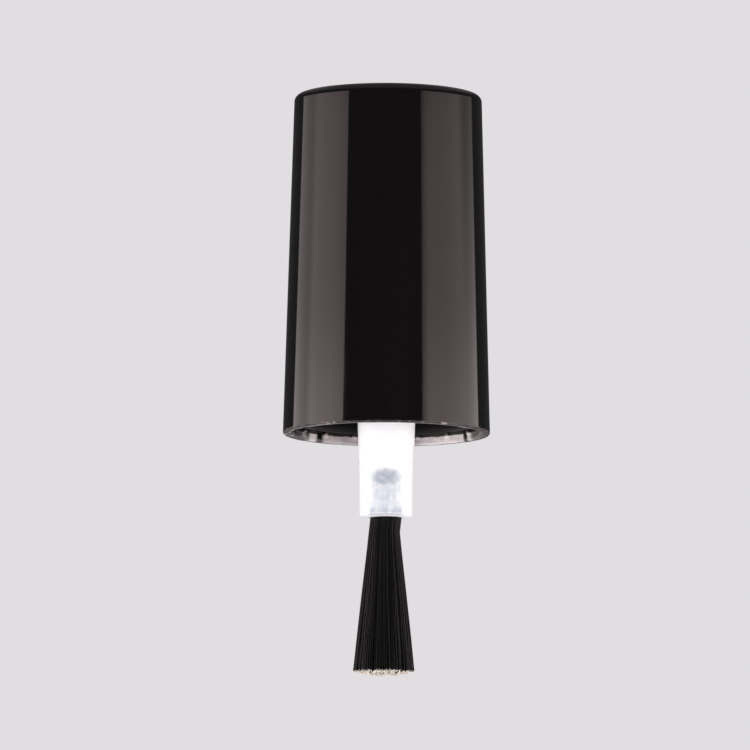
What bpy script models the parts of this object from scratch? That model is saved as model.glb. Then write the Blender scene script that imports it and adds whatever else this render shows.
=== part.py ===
"""Screw cap with applicator brush, for a small bottle with a 13 mm neck.

Metres, +Z up. The origin is the centre of the cap's rim plane: the cap stands above it and the
brush points down from it. Sizes below are in millimetres times MM, and every height is a Z value.
"""

import math

import bmesh
import bpy
from mathutils import Matrix

MM = 0.001

# Facets: round the caps and stem, round the filaments, along an edge, and along a dome or fillet.
ROUND_STEPS = 64
TUFT_STEPS = 40
EDGE_STEPS = 4
DOME_STEPS = 6
WELD = 1e-6
SHARP_ANGLE = math.radians(35)

# Linear colours of the materials.
GLOSS_BLACK = (0.012, 0.011, 0.011)
MOULDED_BLACK = (0.02, 0.02, 0.021)
NATURAL_WHITE = (0.9, 0.91, 0.92)
BRIGHT_METAL = (0.72, 0.73, 0.75)
FILAMENT_BLACK = (0.012, 0.012, 0.013)

# Outer cap: a slightly tapered shell with a flat, closed top.
CAP_HEIGHT = 27.0 * MM
CAP_RIM_R = 8.18 * MM
CAP_TAPER = math.tan(math.radians(1.63))
CAP_WALL = 0.65 * MM
CAP_ROOF = 1.3 * MM
CAP_TOP_EDGE_R = 0.45 * MM
CAP_RIM_EDGE_R = 0.14 * MM
CAP_MOUTH_CHAMFER = 0.15 * MM

# Ribs inside the outer cap: low ones grip the inner cap's side, deep ones stop its top.
GRIP_RIBS = 18
GRIP_RIB_WIDTH = 0.5 * MM
GRIP_RIB_HEIGHT = 0.14 * MM
GRIP_RIB_FOOT = 0.35 * MM
STOP_RIBS = 6
STOP_RIB_WIDTH = 0.8 * MM
STOP_RIB_HEIGHT = 1.4 * MM
RIB_ROOT = 0.3 * MM

# Inner cap: the threaded liner that is pressed into the outer cap.
LINER_GAP = 0.2 * MM
LINER_LIP = 0.8 * MM
LINER_BORE_R = 6.6 * MM
LINER_CHAMFER = 0.25 * MM
DECK_UNDERSIDE = 11.55 * MM
DECK_TOP = 12.8 * MM
BOSS_R = 3.0 * MM
BOSS_TOP = 17.0 * MM
BOSS_ROOF = 0.8 * MM
THREAD_CREST_R = 5.97 * MM
THREAD_PITCH = 2.117 * MM
THREAD_TURNS = 2
THREAD_START = 2.9 * MM
THREAD_FOOT_WIDTH = 1.2 * MM
THREAD_CREST_WIDTH = 0.45 * MM
THREAD_ROOT = 0.12 * MM

# Brush stem: plug, sealing flange and tapered rod, moulded in one.
FIT = 0.1 * MM
PLUG_R = 1.95 * MM
PLUG_TOP = 15.9 * MM
PLUG_CHAMFER = 0.4 * MM
SNAP_HEIGHT = 14.4 * MM
SNAP_RISE = 0.3 * MM
SNAP_HALF_LENGTH = 0.5 * MM
FLANGE_R = 5.75 * MM
FLANGE_TOP = 11.5 * MM
FLANGE_UNDERSIDE = 10.7 * MM
FLANGE_FILLET_R = 0.6 * MM
STEM_RIM_R = 2.23 * MM
STEM_END_R = 2.06 * MM
STEM_END = -6.55 * MM
STEM_EDGE = 0.12 * MM
SOCKET_MOUTH_R = 1.27 * MM
SOCKET_R = 0.95 * MM
SOCKET_TOP = -1.9 * MM
SOCKET_NARROW = -4.4 * MM

# Metal anchor that is driven through the folded filaments into the socket's wall.
ANCHOR_WIDTH = 2.05 * MM
ANCHOR_HEIGHT = 1.33 * MM
ANCHOR_THICKNESS = 0.36 * MM
ANCHOR_CENTRE = -3.35 * MM
ANCHOR_EDGE = 0.05 * MM
ANCHOR_FIT = 0.05 * MM

# Filament tuft: the clamped root and the free length, which bends about a pivot under the mouth.
ROOT_GAP = 0.06 * MM
TUFT_NECK_R = 1.2 * MM
TUFT_TIP_R = 2.4 * MM
TUFT_LENGTH = 12.4 * MM
TUFT_CROWN = 0.12 * MM
TUFT_STRAIGHT = 1.2 * MM
TUFT_FLARE_POWER = 1.05
TUFT_FLARE_STEPS = 8
PIVOT = STEM_END - TUFT_NECK_R - ROOT_GAP


def cap_outer_r(height):
    return CAP_RIM_R - CAP_TAPER * height


def cap_inner_r(height):
    return cap_outer_r(height) - CAP_WALL


def liner_outer_r(height):
    return cap_inner_r(height) - LINER_GAP


def stem_r(height):
    """The rod narrows in a straight line through its radius at the rim and at its end."""
    return STEM_RIM_R + (STEM_END_R - STEM_RIM_R) * height / STEM_END


def arc(centre_r, centre_z, radius, start, end, steps):
    """Points (r, z) along an arc, with angles in degrees from +r towards +z."""
    angles = [math.radians(start + (end - start) * i / steps) for i in range(steps + 1)]
    return [(centre_r + radius * math.cos(a), centre_z + radius * math.sin(a)) for a in angles]


def clear_scene():
    for thing in list(bpy.data.objects):
        bpy.data.objects.remove(thing, do_unlink=True)


def new_collection(name):
    collection = bpy.data.collections.new(name)
    bpy.context.scene.collection.children.link(collection)
    return collection


def new_object(name, mesh, collection):
    thing = bpy.data.objects.new(name, mesh)
    collection.objects.link(thing)
    return thing


def as_guide(thing):
    thing.hide_render = True
    thing.display_type = "WIRE"
    return thing


def finish(thing, colour, roughness, metallic=0.0, transmission=0.0):
    """Gives an object its own material, named after it."""
    material = bpy.data.materials.new(thing.name)
    material.use_nodes = True
    shader = material.node_tree.nodes["Principled BSDF"]
    shader.inputs["Base Color"].default_value = (*colour, 1.0)
    shader.inputs["Roughness"].default_value = roughness
    shader.inputs["Metallic"].default_value = metallic
    shader.inputs["Transmission Weight"].default_value = transmission
    thing.data.materials.append(material)
    return thing


def outline(name, profile, closed, collection):
    """A wire of (r, z) points in the XZ plane, the start of every turned shape."""
    count = len(profile)
    edges = [(i, i + 1) for i in range(count - 1)]
    if closed:
        edges.append((count - 1, 0))
    mesh = bpy.data.meshes.new(name)
    mesh.from_pydata([(r, 0.0, z) for r, z in profile], edges, [])
    return new_object(name, mesh, collection)


def turn(thing, steps, turns=1, rise=0.0):
    """Turns an outline about Z, or sweeps it along a helix when it rises."""
    screw = thing.modifiers.new("turn", "SCREW")
    screw.angle = 2 * math.pi
    screw.iterations = turns
    screw.screw_offset = rise
    screw.steps = steps
    screw.render_steps = steps
    screw.use_merge_vertices = rise == 0.0
    screw.merge_threshold = WELD
    screw.use_smooth_shade = True
    return thing


def baked(thing):
    """The object's evaluated mesh as a mesh of its own."""
    bpy.context.view_layer.update()
    evaluated = thing.evaluated_get(bpy.context.evaluated_depsgraph_get())
    return bpy.data.meshes.new_from_object(evaluated)


def turned(name, profile, steps, collection):
    """A closed body of revolution whose outline starts and ends on the axis."""
    source = turn(outline(name, profile, False, collection), steps)
    mesh = baked(source)
    bpy.data.objects.remove(source)
    mesh.name = name
    mesh.shade_smooth()
    mesh.set_sharp_from_angle(angle=SHARP_ANGLE)
    return new_object(name, mesh, collection)


def box(name, size, centre, collection, turn_deg=0.0, lean=0.0):
    """A box of the given size; lean tips it inwards and turn_deg places it round the axis."""
    bm = bmesh.new()
    place = Matrix.Rotation(math.radians(turn_deg), 4, "Z") @ Matrix.Translation(centre)
    tip = Matrix.Rotation(-lean, 4, "Y")
    stretch = Matrix.Diagonal((*size, 1.0))
    bmesh.ops.create_cube(bm, size=1.0, matrix=place @ tip @ stretch)
    mesh = bpy.data.meshes.new(name)
    bm.to_mesh(mesh)
    bm.free()
    return new_object(name, mesh, collection)


def combine(body, other, operation):
    boolean = body.modifiers.new(operation.lower(), "BOOLEAN")
    boolean.operation = operation
    boolean.solver = "EXACT"
    boolean.object = other


def cap_ribs(name, count, width, height, foot, top, guides):
    """Ribs that follow the shell's leaning inner wall, each rooted a little way into it."""
    lean = math.atan(CAP_TAPER)
    middle = (foot + top) / 2
    depth = height + RIB_ROOT
    centre_r = cap_inner_r(middle) - height + depth / 2
    size = (depth, width, (top - foot) / math.cos(lean))
    ribs = []
    for i in range(count):
        angle = 360.0 * (i + 0.5) / count
        ribs.append(box(f"{name}_{i:02d}", size, (centre_r, 0.0, middle), guides, angle, lean))
    return [as_guide(rib) for rib in ribs]


def make_outer_cap(parts, guides):
    edge = CAP_TOP_EDGE_R
    top_r = cap_outer_r(CAP_HEIGHT - edge)
    lip = CAP_RIM_EDGE_R
    roof = CAP_HEIGHT - CAP_ROOF
    profile = [(0.0, CAP_HEIGHT)]
    profile += arc(top_r - edge, CAP_HEIGHT - edge, edge, 90, 0, EDGE_STEPS)
    profile += arc(cap_outer_r(lip) - lip, lip, lip, 0, -90, EDGE_STEPS)
    profile += [
        (cap_inner_r(0.0) + CAP_MOUTH_CHAMFER, 0.0),
        (cap_inner_r(CAP_MOUTH_CHAMFER), CAP_MOUTH_CHAMFER),
        (cap_inner_r(roof), roof),
        (0.0, roof),
    ]
    cap = turned("outer_cap", profile, ROUND_STEPS, parts)
    grips = cap_ribs("grip_rib", GRIP_RIBS, GRIP_RIB_WIDTH, GRIP_RIB_HEIGHT, GRIP_RIB_FOOT,
                     DECK_TOP, guides)
    stops = cap_ribs("stop_rib", STOP_RIBS, STOP_RIB_WIDTH, STOP_RIB_HEIGHT, DECK_TOP + FIT,
                     roof + RIB_ROOT, guides)
    for rib in grips + stops:
        combine(cap, rib, "UNION")
    return finish(cap, GLOSS_BLACK, 0.12)


def make_thread(guides):
    """The liner's thread: a trapezoid swept inside the bore along a helix, with closed ends."""
    foot_r = LINER_BORE_R + THREAD_ROOT
    foot = THREAD_FOOT_WIDTH / 2
    crest = THREAD_CREST_WIDTH / 2
    profile = [
        (foot_r, THREAD_START + foot),
        (foot_r, THREAD_START - foot),
        (THREAD_CREST_R, THREAD_START - crest),
        (THREAD_CREST_R, THREAD_START + crest),
    ]
    sweep = turn(outline("thread_sweep", profile, True, guides), ROUND_STEPS, THREAD_TURNS, THREAD_PITCH)
    mesh = baked(sweep)
    bpy.data.objects.remove(sweep)
    bm = bmesh.new()
    bm.from_mesh(mesh)
    open_edges = [edge for edge in bm.edges if edge.is_boundary]
    bmesh.ops.holes_fill(bm, edges=open_edges, sides=len(profile))
    bmesh.ops.recalc_face_normals(bm, faces=bm.faces)
    bm.to_mesh(mesh)
    bm.free()
    return as_guide(new_object("thread_ridge", mesh, guides))


def make_inner_cap(parts, guides):
    bore = PLUG_R + FIT
    groove = bore + SNAP_RISE
    roof = BOSS_TOP - BOSS_ROOF
    profile = [
        (0.0, BOSS_TOP),
        (BOSS_R, BOSS_TOP),
        (BOSS_R, DECK_TOP),
        (liner_outer_r(DECK_TOP), DECK_TOP),
        (liner_outer_r(LINER_LIP), LINER_LIP),
        (LINER_BORE_R + LINER_CHAMFER, LINER_LIP),
        (LINER_BORE_R, LINER_LIP + LINER_CHAMFER),
        (LINER_BORE_R, DECK_UNDERSIDE),
        (bore, DECK_UNDERSIDE),
        (bore, SNAP_HEIGHT - SNAP_HALF_LENGTH - FIT),
        (groove, SNAP_HEIGHT - FIT),
        (groove, SNAP_HEIGHT + FIT),
        (bore, SNAP_HEIGHT + SNAP_HALF_LENGTH + FIT),
        (bore, roof),
        (0.0, roof),
    ]
    liner = turned("inner_cap", profile, ROUND_STEPS, parts)
    combine(liner, make_thread(guides), "UNION")
    return finish(liner, MOULDED_BLACK, 0.4)


def anchor_slot(name, width, guides):
    """The room that the anchor takes up, with its fit all round."""
    size = (width, ANCHOR_THICKNESS + 2 * ANCHOR_FIT, ANCHOR_HEIGHT + 2 * ANCHOR_FIT)
    return as_guide(box(name, size, (0.0, 0.0, ANCHOR_CENTRE), guides))


def make_brush_stem(parts, guides):
    fillet = FLANGE_FILLET_R
    fillet_foot = FLANGE_UNDERSIDE - fillet
    profile = [
        (0.0, PLUG_TOP),
        (PLUG_R - PLUG_CHAMFER, PLUG_TOP),
        (PLUG_R, PLUG_TOP - PLUG_CHAMFER),
        (PLUG_R, SNAP_HEIGHT + SNAP_HALF_LENGTH),
        (PLUG_R + SNAP_RISE, SNAP_HEIGHT),
        (PLUG_R, SNAP_HEIGHT - SNAP_HALF_LENGTH),
        (PLUG_R, FLANGE_TOP),
        (FLANGE_R, FLANGE_TOP),
        (FLANGE_R, FLANGE_UNDERSIDE),
    ]
    profile += arc(stem_r(fillet_foot) + fillet, fillet_foot, fillet, 90, 180, EDGE_STEPS)
    profile += [
        (stem_r(STEM_END + STEM_EDGE), STEM_END + STEM_EDGE),
        (STEM_END_R - STEM_EDGE, STEM_END),
        (SOCKET_MOUTH_R, STEM_END),
        (SOCKET_R, SOCKET_NARROW),
        (SOCKET_R, SOCKET_TOP),
        (0.0, SOCKET_TOP),
    ]
    stem = turned("brush_stem", profile, ROUND_STEPS, parts)
    combine(stem, anchor_slot("stem_slot", ANCHOR_WIDTH + 2 * ANCHOR_FIT, guides), "DIFFERENCE")
    return finish(stem, NATURAL_WHITE, 0.35, transmission=0.35)


def make_anchor(parts):
    size = (ANCHOR_WIDTH, ANCHOR_THICKNESS, ANCHOR_HEIGHT)
    anchor = box("anchor_staple", size, (0.0, 0.0, 0.0), parts)
    anchor.location.z = ANCHOR_CENTRE
    bevel = anchor.modifiers.new("edge", "BEVEL")
    bevel.width = ANCHOR_EDGE
    bevel.segments = 2
    return finish(anchor, BRIGHT_METAL, 0.3, metallic=1.0)


def make_tuft_root(parts, guides):
    """Filaments folded over the anchor, which fill the socket down to its mouth."""
    narrow = SOCKET_R - ROOT_GAP
    wide = SOCKET_MOUTH_R - ROOT_GAP
    fold_centre = SOCKET_TOP - ROOT_GAP - narrow
    profile = arc(0.0, fold_centre, narrow, 90, 0, DOME_STEPS)
    profile += [(narrow, SOCKET_NARROW), (wide, STEM_END), (0.0, STEM_END)]
    right_through = 4 * narrow
    root = turned("tuft_root", profile, TUFT_STEPS, parts)
    combine(root, anchor_slot("root_slot", right_through, guides), "DIFFERENCE")
    return finish(root, FILAMENT_BLACK, 0.45)


def tuft_r(depth):
    """Half-width of the tuft at a depth below the stem: straight at first, then flaring."""
    share = max(0.0, depth - TUFT_STRAIGHT) / (TUFT_LENGTH - TUFT_STRAIGHT)
    return TUFT_NECK_R + (TUFT_TIP_R - TUFT_NECK_R) * share ** TUFT_FLARE_POWER


def make_bristle_tuft(parts):
    """The free filaments as one flared body, domed at the top about its bending pivot.

    Heights are measured from the pivot, and the cut end is crowned like a shallow parabola.
    """
    pivot_depth = STEM_END - PIVOT
    edge_depth = TUFT_LENGTH - TUFT_CROWN
    tip_height = pivot_depth - TUFT_LENGTH
    profile = arc(0.0, 0.0, TUFT_NECK_R, 90, 0, DOME_STEPS)
    for i in range(1, TUFT_FLARE_STEPS + 1):
        depth = pivot_depth + (edge_depth - pivot_depth) * i / TUFT_FLARE_STEPS
        profile.append((tuft_r(depth), pivot_depth - depth))
    profile.append((TUFT_TIP_R / 2, tip_height + TUFT_CROWN / 4))
    profile.append((0.0, tip_height))
    tuft = turned("bristle_tuft", profile, TUFT_STEPS, parts)
    tuft.location.z = PIVOT
    return finish(tuft, FILAMENT_BLACK, 0.4)


def main():
    clear_scene()
    parts = new_collection("nail_brush_cap")
    guides = new_collection("guides")
    make_outer_cap(parts, guides)
    make_inner_cap(parts, guides)
    make_brush_stem(parts, guides)
    make_anchor(parts)
    make_tuft_root(parts, guides)
    make_bristle_tuft(parts)


main()
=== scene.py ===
import math

import bpy
import numpy as np
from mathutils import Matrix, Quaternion, Vector


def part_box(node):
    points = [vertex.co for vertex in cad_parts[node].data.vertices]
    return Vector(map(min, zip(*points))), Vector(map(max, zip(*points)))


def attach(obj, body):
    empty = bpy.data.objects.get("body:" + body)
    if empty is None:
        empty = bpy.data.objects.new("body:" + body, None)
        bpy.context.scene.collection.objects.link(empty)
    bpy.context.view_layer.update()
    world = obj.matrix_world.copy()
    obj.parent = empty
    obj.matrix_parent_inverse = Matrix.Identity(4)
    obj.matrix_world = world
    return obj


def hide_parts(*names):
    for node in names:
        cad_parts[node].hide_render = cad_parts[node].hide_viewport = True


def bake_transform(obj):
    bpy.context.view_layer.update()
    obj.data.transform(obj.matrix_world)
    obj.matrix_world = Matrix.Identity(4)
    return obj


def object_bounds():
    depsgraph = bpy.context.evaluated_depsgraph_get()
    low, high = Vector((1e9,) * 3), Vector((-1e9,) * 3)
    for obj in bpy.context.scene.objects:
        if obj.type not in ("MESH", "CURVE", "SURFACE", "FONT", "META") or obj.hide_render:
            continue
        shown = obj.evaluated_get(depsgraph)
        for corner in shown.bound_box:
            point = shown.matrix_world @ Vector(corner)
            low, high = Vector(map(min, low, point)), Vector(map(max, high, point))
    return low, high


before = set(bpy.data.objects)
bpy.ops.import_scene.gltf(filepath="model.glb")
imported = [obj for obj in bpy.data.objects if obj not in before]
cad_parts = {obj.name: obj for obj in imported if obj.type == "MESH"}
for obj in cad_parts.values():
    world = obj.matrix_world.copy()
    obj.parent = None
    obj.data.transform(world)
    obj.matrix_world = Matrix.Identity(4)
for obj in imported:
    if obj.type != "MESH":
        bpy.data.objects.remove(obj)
CAD_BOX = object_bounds()

# Looks of a screw cap with an applicator brush: a sprayed gloss cap, its threaded liner, a milky
# stem, the metal anchor inside it and the folded filaments. The cap stands on Z = 0 with the brush
# below. Lengths are in metres, written as millimetres times MM.

MM = 0.001
SEED = 27
TINY = 1e-7

# View: from a little below the rim, one metre away, with a long lens.
CAMERA_DISTANCE = 1.0
CAMERA_ELEVATION = math.radians(-7.22)
CAMERA_ROLL = math.radians(0.30)
CAMERA_LENS = 607.9
SENSOR_WIDTH = 36.0
AIM_ASIDE = -0.925 * MM
AIM_ABOVE_MIDDLE = 0.68 * MM

# Backdrop and floor, as linear colours.
BACKDROP = (0.745, 0.730, 0.753)
FLOOR_COLOUR = (0.83, 0.815, 0.84)
FLOOR_SHADE = 0.985
FLOOR_CLOUD = 0.3
FLOOR_HEIGHT = -0.30
FLOOR_SIZE = 8.0

# Light, as radiance. The room is dim round the object and brighter overhead, where a direction's
# height above the horizon is given by its sine. Gloss reflects less of the ceiling.
ROOM_DIM = 0.07
CEILING = 1.3
CEILING_IN_GLOSS = 0.35
CEILING_FROM = 0.3
CEILING_TO = 0.65
SOFTBOX_TINT = (1.0, 0.93, 0.92)
FILL_TINT = (0.97, 0.98, 1.0)

# Side softboxes: full below the first height, then dimming in steps (height, level) to dark. The
# heights hold for a softbox's middle. They follow lines of sight, and slope down to its far end.
SOFTBOX_DISTANCE = 0.22
SOFTBOX_HEIGHT = 0.36
SOFTBOX_SLOPE = 0.018
SOFTBOX_FULL_BELOW = 0.0345
SOFTBOX_STEPS = (
    (0.0395, 0.85), (0.0447, 0.68), (0.048, 0.63),
    (0.066, 0.56), (0.068, 0.54), (0.071, 0.0),
)
FAR_DIM_FROM = 0.041
FAR_DIM_TO = 0.066

# Bearings in degrees from the camera's side towards +X. A grade is the level at the softbox's near
# edge, the width of the ramp there, where its far part starts and ends to dim, and how much that
# part loses, below and above. Near is the camera's side, and widths are shares of the softbox's.
LEFT_BEARING, LEFT_WIDTH, LEFT_LEVEL = -88.0, 0.355, 2.88
LEFT_GRADE = (0.8, 0.28, 0.54, 0.68, (0.41, 0.41))
RIGHT_BEARING, RIGHT_WIDTH, RIGHT_LEVEL = 82.0, 0.392, 2.20
RIGHT_GRADE = (0.5, 0.15, 0.58, 0.75, (0.12, 0.57))
FILL_DISTANCE, FILL_SIZE, FILL_LEVEL, FILL_RAISED = 0.6, 0.4, 4.6, -0.10

# Colours of the pieces, linear. Each pair is the two ends of a slight variation.
LACQUER = ((0.0022, 0.0020, 0.0021), (0.0036, 0.0032, 0.0033))
# Pale flecks at the rim's edge: wear of the paint, and in part a painted highlight along the rim.
WORN_EDGE_AND_HIGHLIGHT = ((0.015, 0.0125, 0.0125), (0.25, 0.22, 0.212))
BARE_PLASTIC = ((0.55, 0.50, 0.50), (0.66, 0.61, 0.605))
LINER_BLACK = ((0.0015, 0.0014, 0.0015), (0.0028, 0.0026, 0.0027))
MILK = ((0.81, 0.82, 0.845), (0.88, 0.878, 0.895))
# Milk for the stem's top, lighter as painted light against the cap's shade.
PAINTED_LIGHT_MILK = (0.965, 0.963, 0.968)
# Grey of the painted shade over the anchor and roots inside the stem.
PAINTED_SHADE_GREY = ((0.40, 0.435, 0.495), (0.52, 0.535, 0.565))
WIRE = ((0.58, 0.60, 0.64), (0.80, 0.81, 0.83))
FILAMENT_BLACK = ((0.0035, 0.0034, 0.0037), (0.0095, 0.0088, 0.0090))
FILAMENT_CUT = ((0.42, 0.36, 0.33), (0.92, 0.87, 0.74))

# Roughness, where a pair is the two ends of a slight variation, and the depth of textures.
LACQUER_ROUGHNESS = (0.055, 0.105)
WORN_ROUGHNESS = 0.75
BARE_ROUGHNESS = 0.4
LINER_ROUGHNESS = (0.34, 0.5)
MILK_ROUGHNESS = (0.26, 0.38)
WIRE_ROUGHNESS = (0.2, 0.42)
FILAMENT_ROUGHNESS = (0.3, 0.45)
LACQUER_PEEL = 0.0022 * MM
LINER_GRAIN = 0.004 * MM
MILK_LINES = 0.0015 * MM
WIRE_LINES = 0.002 * MM

# Most of a noise lies between these.
NOISE_SPAN = (0.3, 0.7)

# Outer cap. Its top edge is a little rounder than the CAD's, and its dish, its gate, the rim's
# waves and the wear, in part a painted highlight along the rim, are only here.
RIM_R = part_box("outer_cap")[1].x
CAP_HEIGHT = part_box("outer_cap")[1].z
CAP_TAPER = math.tan(math.radians(1.63))
CAP_WALL = 0.65 * MM
CAP_ROOF = 1.3 * MM
TOP_EDGE_R = 0.55 * MM
RIM_EDGE_R = 0.14 * MM
FLAT_MARGIN = 0.08 * MM
MOUTH_EDGE = 0.15 * MM
TOP_DISH = 0.05 * MM
RIM_WAVE = 0.018 * MM
RIM_WAVES = ((3, 1.0, 0.6), (7, 0.7, 2.1), (16, 0.6, 4.0), (29, 0.5, 1.3))
RIM_WAVE_FULL, RIM_WAVE_TOP = 0.05 * MM, 0.6 * MM
RIM_WAVE_DOWN, RIM_WAVE_TURN = 0.4, 1.0
# The rim's edge of wear and painted highlight reaches up to between these heights.
WEAR_AND_HIGHLIGHT_FROM = 0.33 * MM
WEAR_AND_HIGHLIGHT_TO = 0.19 * MM
RAGGEDNESS = 0.3 * MM
# Pale plastic in the mouth by degrees. The zeros beside the ribs are painted rib shadows, and the
# lower shares from 72° to 131° are painted shade.
BARE_AND_SHADE = (
    (0, 0.06), (25, 0.3), (28, 0.85), (31, 0.85), (32.5, 0), (35, 0), (36.5, 1), (64, 0.95),
    (72, 0.62), (108, 0.58), (131, 0.55), (133, 0), (136.5, 0), (138, 0.85), (143, 0.85),
    (145, 0.12), (180, 0.06),
)
BARE_TO, BARE_NONE_FROM = 0.63 * MM, 0.72 * MM
GRIP_RIBS = 18
GRIP_HALF_WIDTH = 0.25 * MM
GRIP_HEIGHT = 0.14 * MM
GRIP_FOOT = 0.35 * MM
GRIP_LEAD = 0.35 * MM
MOUTH_ROWS = (0.25 * MM, GRIP_FOOT, 0.45 * MM, 0.55 * MM, 0.65 * MM, 0.75 * MM, 0.9 * MM, 1.2 * MM)
ROOF_CORNER_R = 0.2 * MM
GATE_R, GATE_END_R, GATE_LENGTH = 0.5 * MM, 0.4 * MM, 0.25 * MM
STOP_RIBS = 6
STOP_HALF_WIDTH = 0.4 * MM
STOP_HEIGHT = 1.4 * MM
RIB_EDGE = 0.08 * MM

# Inner cap.
LINER_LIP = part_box("inner_cap")[0].z
BOSS_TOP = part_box("inner_cap")[1].z
LINER_GAP = 0.2 * MM
BORE_R = 6.6 * MM
DECK_UNDERSIDE = 11.55 * MM
DECK_TOP = 12.8 * MM
BOSS_R = 3.0 * MM
BOSS_ROOF = 0.8 * MM
BOSS_BORE_R = 2.05 * MM
BOSS_FILLET = 0.3 * MM
BOSS_BORE_CHAMFER = 0.15 * MM
BORE_LIP_R = 0.25 * MM
BORE_CORNER_R = 0.2 * MM
GROOVE_RISE = 0.3 * MM
GROOVE_HEIGHT = 14.4 * MM
GROOVE_HALF_LENGTH = 0.6 * MM
GROOVE_HALF_FLOOR = 0.1 * MM
THREAD_HEIGHT = 0.63 * MM
THREAD_PITCH = 2.117 * MM
THREAD_TURNS = 2
THREAD_START = 2.9 * MM
THREAD_HALF_FOOT = 0.6 * MM
THREAD_HALF_CREST = 0.225 * MM
THREAD_RUN_IN = 0.05
THREAD_ROWS_FROM, THREAD_ROWS_PAST = 1.5 * MM, 0.2 * MM
THREAD_ROW = 0.07 * MM
LINER_EDGE = 0.12 * MM

# Brush stem.
STEM_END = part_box("brush_stem")[0].z
PLUG_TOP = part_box("brush_stem")[1].z
FLANGE_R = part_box("brush_stem")[1].x
PLUG_R = 1.95 * MM
PLUG_EDGE = 0.4 * MM
PLUG_FILLET = 0.2 * MM
SNAP_RISE = 0.3 * MM
SNAP_HALF_LENGTH = 0.5 * MM
FLANGE_TOP = 11.5 * MM
FLANGE_UNDERSIDE = 10.7 * MM
FLANGE_EDGE = 0.1 * MM
FLANGE_FILLET = 0.6 * MM
STEM_RIM_R = 2.23 * MM
STEM_END_R = 2.06 * MM
STEM_EDGE = 0.12 * MM
END_RISE = 0.03 * MM
MOUTH_LIP = 0.12 * MM
MOUTH_LIP_R = 0.06 * MM
SOCKET_MOUTH_R = 1.27 * MM
SOCKET_R = 0.95 * MM
SOCKET_CORNER_R = 0.15 * MM
SOCKET_NARROW = -4.4 * MM
SOCKET_TOP = -1.9 * MM
# The stem's milk is painted lighter from the socket's top up to here.
PAINTED_LIGHT_FROM = 0.4 * MM
PARTING_RISE = 0.012 * MM
PARTING_HALF_WIDTH = 0.05 * MM

# Painted shade on the stem where the anchor and the filaments' roots sit inside, both a little to
# the left. Distances from the middle of the anchor's patch are in half-sizes of the anchor, and
# count for less across. The painted shade is on the faces in front of and behind the axis, and
# stops at the stem's end.
HAZE_HEIGHT = -3.66 * MM
HAZE_ASIDE = 0.03
HAZE_ACROSS = 0.88
HAZE_FULL, HAZE_NONE = 0.62, 1.42
HAZE_NONE_BELOW, HAZE_FULL_ABOVE = STEM_END - 0.035 * MM, STEM_END + 0.01 * MM
HAZE_FACE_NONE, HAZE_FACE_FULL = 0.6 * MM, 1.6 * MM
ROOTS_ASIDE = 0.04 * MM
ROOTS_FULL, ROOTS_NONE = 1.0 * MM, 1.33 * MM
ROOTS_SPREAD = 0.2 * MM
ROOTS_STRENGTH = 0.64
# Near the stem's end the painted shade grows stronger and also stands for the lower edge's shade.
END_SHADE_STRENGTH = 1.6
END_SHADE_FROM, END_SHADE_TO = STEM_END + 0.75 * MM, STEM_END + 0.1 * MM

# Anchor.
ANCHOR_EDGE = 0.05 * MM
ANCHOR_CORNER = 0.16 * MM
ANCHOR_RING = 0.6

# Filaments, which are folded over the anchor. Girths are shares of the radius, and a tip's
# colour fades out between two shares of its length.
FILAMENTS = 330
FILAMENT_R = 0.042 * MM
FILAMENT_SIDES = 6
ROOT_R = 0.86 * MM
FOLD_HEIGHT = -2.85 * MM
FOLD_GAP = 0.27
TUFT_NECK_R = 1.22 * MM
TUFT_TIP_R = 2.50 * MM
TUFT_LENGTH = STEM_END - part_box("bristle_tuft")[0].z
TUFT_STRAIGHT = 1.2 * MM
FLARE_POWER = 1.05
TUFT_LEAN = -0.13 * MM
TIP_CROWN = 0.37 * MM
CROWN_BELOW_CAD = 0.23 * MM
TIP_SLANT = 0.10 * MM
TIP_SCATTER = 0.03 * MM
TIP_COLOUR_LENGTH = 0.13 * MM
OUTER_TIP_COLOUR_LENGTH = 0.02 * MM
TIP_FADE = (1.0, 0.6)
OUTER_FROM = 0.72
OUTER_TO = 0.92
WANDER = 0.035 * MM
WANDER_TURN = 5.0
WANDER_LEAN = 0.6
PLACE_SCATTER = 0.012
PAIR_SCATTER = 0.015
DISC_FILL = 0.985
CLUMPS = 34
CLUMP_PULL = 0.16
CLUMP_DISC_FILL = 0.95
GIRTHS = (0.85, 1.1)

# Facets.
ROUND_STEPS = 256
STEM_STEPS = 160
ARC_STEPS = 6


# ---------------------------------------------------------------- turned shapes

def smooth(value, low, high):
    """0 at low, 1 at high, and an S-curve between them. low may be above high."""
    share = np.clip((value - low) / (high - low), 0.0, 1.0)
    return share * share * (3 - 2 * share)


def arc(centre_r, centre_z, radius, start, end, steps=ARC_STEPS):
    """Points (r, z) along an arc, with angles in degrees from +r towards +z."""
    turns = np.radians(np.linspace(start, end, steps + 1))
    return [(centre_r + radius * math.cos(a), centre_z + radius * math.sin(a)) for a in turns]


def line(start, end, steps):
    """Points (r, z) after start and up to end."""
    return [
        (start[0] + (end[0] - start[0]) * i / steps, start[1] + (end[1] - start[1]) * i / steps)
        for i in range(1, steps + 1)
    ]


def even_angles(steps):
    return np.arange(steps) * 2 * math.pi / steps


def angles_with_ribs(steps, ribs):
    """Even angles, with the edges of every rib added. ribs holds (count, half width, radius)."""
    found = list(even_angles(steps))
    for count, half_width, radius in ribs:
        for i in range(count):
            middle = 2 * math.pi * (i + 0.5) / count
            for offset in (half_width, half_width - RIB_EDGE):
                found += [middle - offset / radius, middle + offset / radius]
    found = np.sort(np.array(found) % (2 * math.pi))
    return found[np.diff(found, prepend=-1.0) > math.radians(0.12)]


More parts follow.
